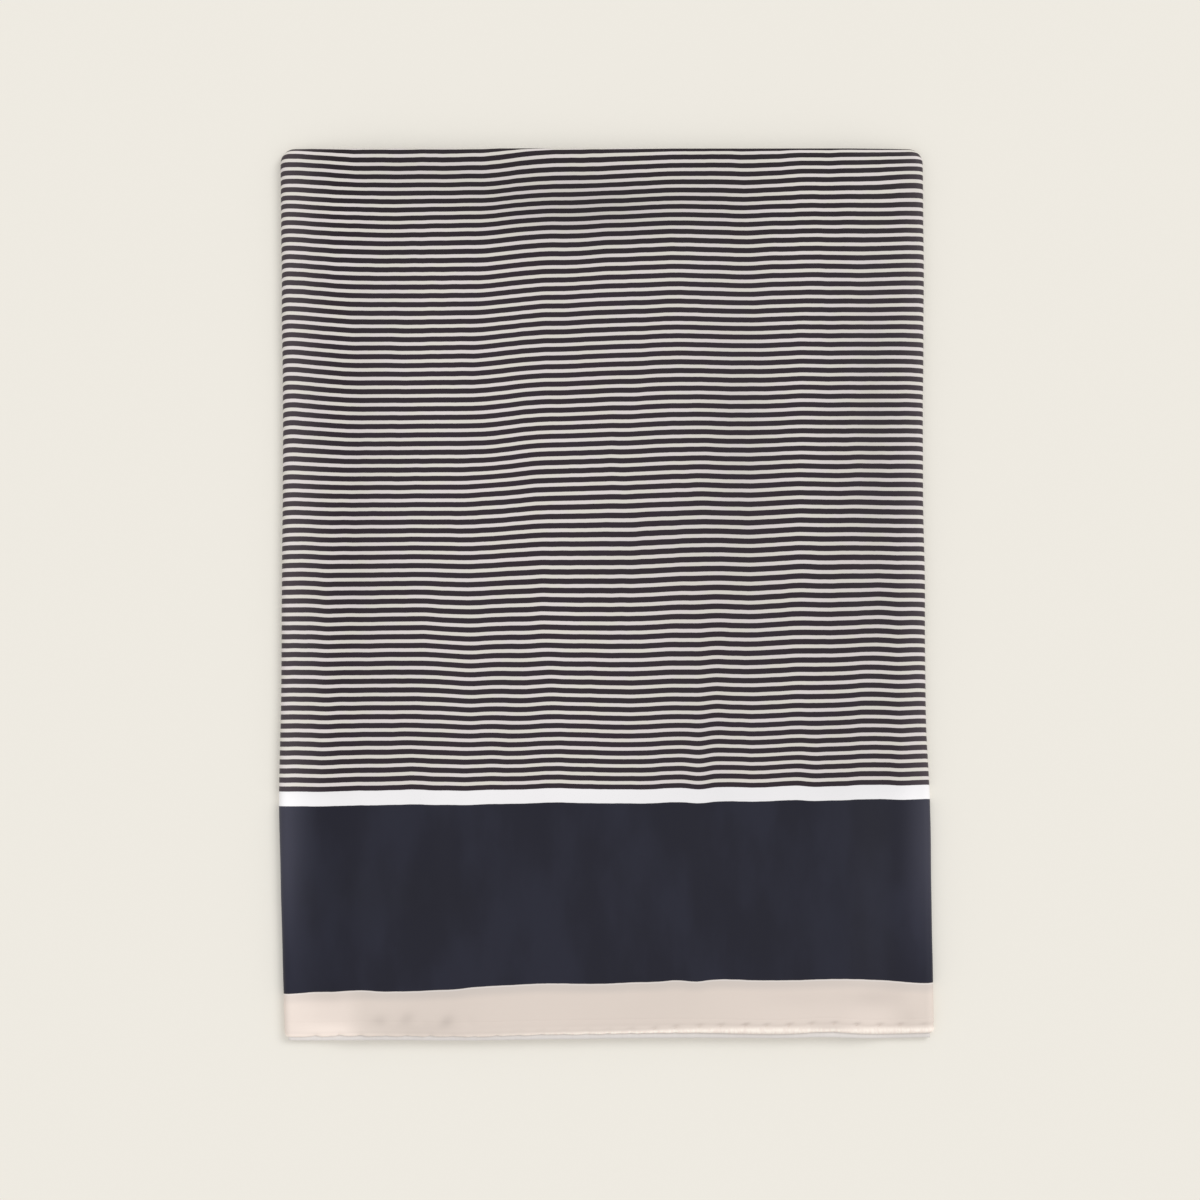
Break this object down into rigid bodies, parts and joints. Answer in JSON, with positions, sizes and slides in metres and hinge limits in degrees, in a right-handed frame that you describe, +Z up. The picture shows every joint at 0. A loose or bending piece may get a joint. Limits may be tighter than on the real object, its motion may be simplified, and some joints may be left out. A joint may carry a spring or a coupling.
{
  "type": "silk square scarf, folded flat",
  "caption": "Square silk scarf folded in half and then in three, lying flat, with narrow stripes, a deep dark band, a pale border and rolled hems.",
  "frame": {"origin": "centre of the underside, on the surface that the folded scarf lies on", "axes": "+Z up, +Y from the hems to the first fold, +X to the right seen from above with the hems nearest"},
  "size_m": [0.3308, 0.45, 0.0093],
  "materials": {
    "printed_silk": "soft satin sheen, narrow dark and pale stripes, a white line, a dark blue band and a pale border",
    "border_silk": "soft satin sheen, pale pinkish beige, hand rolled and whip stitched"
  },
  "bodies": {
    "root": {"front_panel": "printed_silk", "front_hem": "border_silk", "under_hem": "border_silk", "first_flap_hem": "border_silk", "second_flap_hem": "border_silk", "flap_side_hem": "printed_silk", "folded_layers": "printed_silk"}
  },
  "joints": []
}
